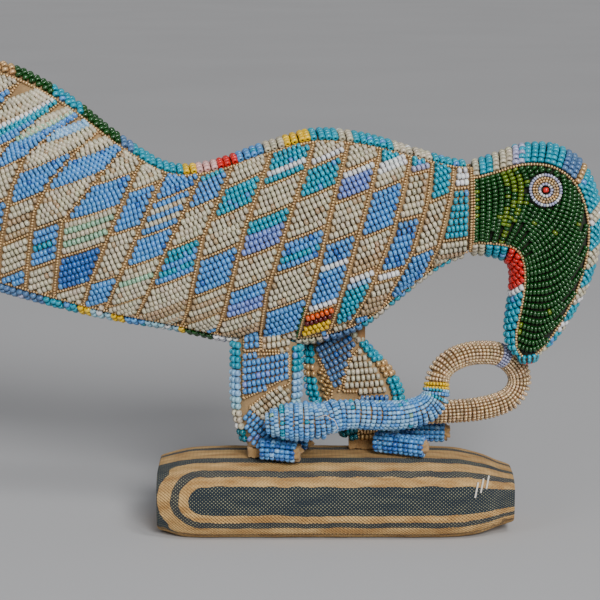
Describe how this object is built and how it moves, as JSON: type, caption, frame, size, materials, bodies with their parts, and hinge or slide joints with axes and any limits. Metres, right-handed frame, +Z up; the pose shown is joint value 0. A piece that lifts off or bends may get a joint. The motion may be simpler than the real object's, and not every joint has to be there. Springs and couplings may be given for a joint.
{
  "type": "beaded cloth bird figure",
  "caption": "Stuffed cloth bird covered in strung glass beads, standing on a striped cushion and biting the looped tail of a beaded snake.",
  "frame": {"origin": "middle of the cushion's flat underside", "axes": "+X along the cushion from the tail to the head, +Y from the near side to the far side, +Z up"},
  "size_m": [0.3271, 0.0673, 0.2132],
  "materials": {
    "cushion_cloth": "matte handwoven cotton with indigo stripes",
    "stuffing": "matte cotton stuffing",
    "bead_cloth": "matte plain cotton",
    "wood": "raw carved wood",
    "cord": "matte twisted cord",
    "thread": "white cotton thread",
    "wire": "dull iron wire",
    "body_beads": "glossy opaque glass beads, gray, blue and turquoise",
    "blue_beads": "glossy opaque blue glass beads",
    "light_blue_beads": "glossy opaque light blue glass beads",
    "turquoise_beads": "glossy opaque turquoise glass beads",
    "gray_beads": "glossy opaque warm gray glass beads",
    "green_beads": "glossy dark green glass beads",
    "tan_beads": "small glossy tan glass beads",
    "white_beads": "glossy opaque white and lilac glass beads",
    "yellow_beads": "glossy opaque yellow glass beads",
    "red_beads": "glossy opaque red glass beads"
  },
  "bodies": {
    "root": {"cushion_cover": "cushion_cloth", "cushion_padding": "stuffing", "cushion_board": "wood", "cushion_stitches": "thread", "spine_stick": "wood", "rear_leg_stick": "wood", "front_leg_stick": "wood", "stick_lashings": "cord", "neck_wire": "wire", "tail_ribs": "wood", "body_stuffing": "stuffing", "head_stuffing": "stuffing", "body_cloth_near": "bead_cloth", "body_cloth_far": "bead_cloth", "head_cloth_near": "bead_cloth", "head_cloth_far": "bead_cloth", "body_beads_near": "body_beads", "body_beads_far": "body_beads", "head_beads_near": "green_beads", "head_beads_far": "green_beads", "neck_collar": "tan_beads", "back_band": "turquoise_beads", "belly_band": "light_blue_beads", "crown_band": "turquoise_beads", "throat_band": "gray_beads", "tail_edge_band": "tan_beads", "beak_tip": "turquoise_beads", "eye_ring_near": "white_beads", "eye_ring_far": "white_beads", "eye_patch_near": "white_beads", "eye_patch_far": "white_beads", "pupil_near": "red_beads", "pupil_far": "red_beads", "rear_leg_beads": "blue_beads", "front_leg_beads": "gray_beads", "rear_leg_edges": "light_blue_beads", "front_leg_edges": "turquoise_beads", "rear_leg_stuffing": "stuffing", "front_leg_stuffing": "stuffing", "rear_foot_stump": "bead_cloth", "front_foot_stump": "bead_cloth", "rear_toe_near": "blue_beads", "rear_toe_far": "blue_beads", "front_toe_near": "blue_beads", "front_toe_far": "blue_beads", "toe_plugs": "bead_cloth", "snake_core": "bead_cloth", "snake_head": "light_blue_beads", "snake_body": "blue_beads", "snake_yellow_band": "yellow_beads", "snake_tail_upper": "tan_beads", "snake_white_band": "white_beads", "snake_tail_lower": "tan_beads"}
  },
  "joints": []
}
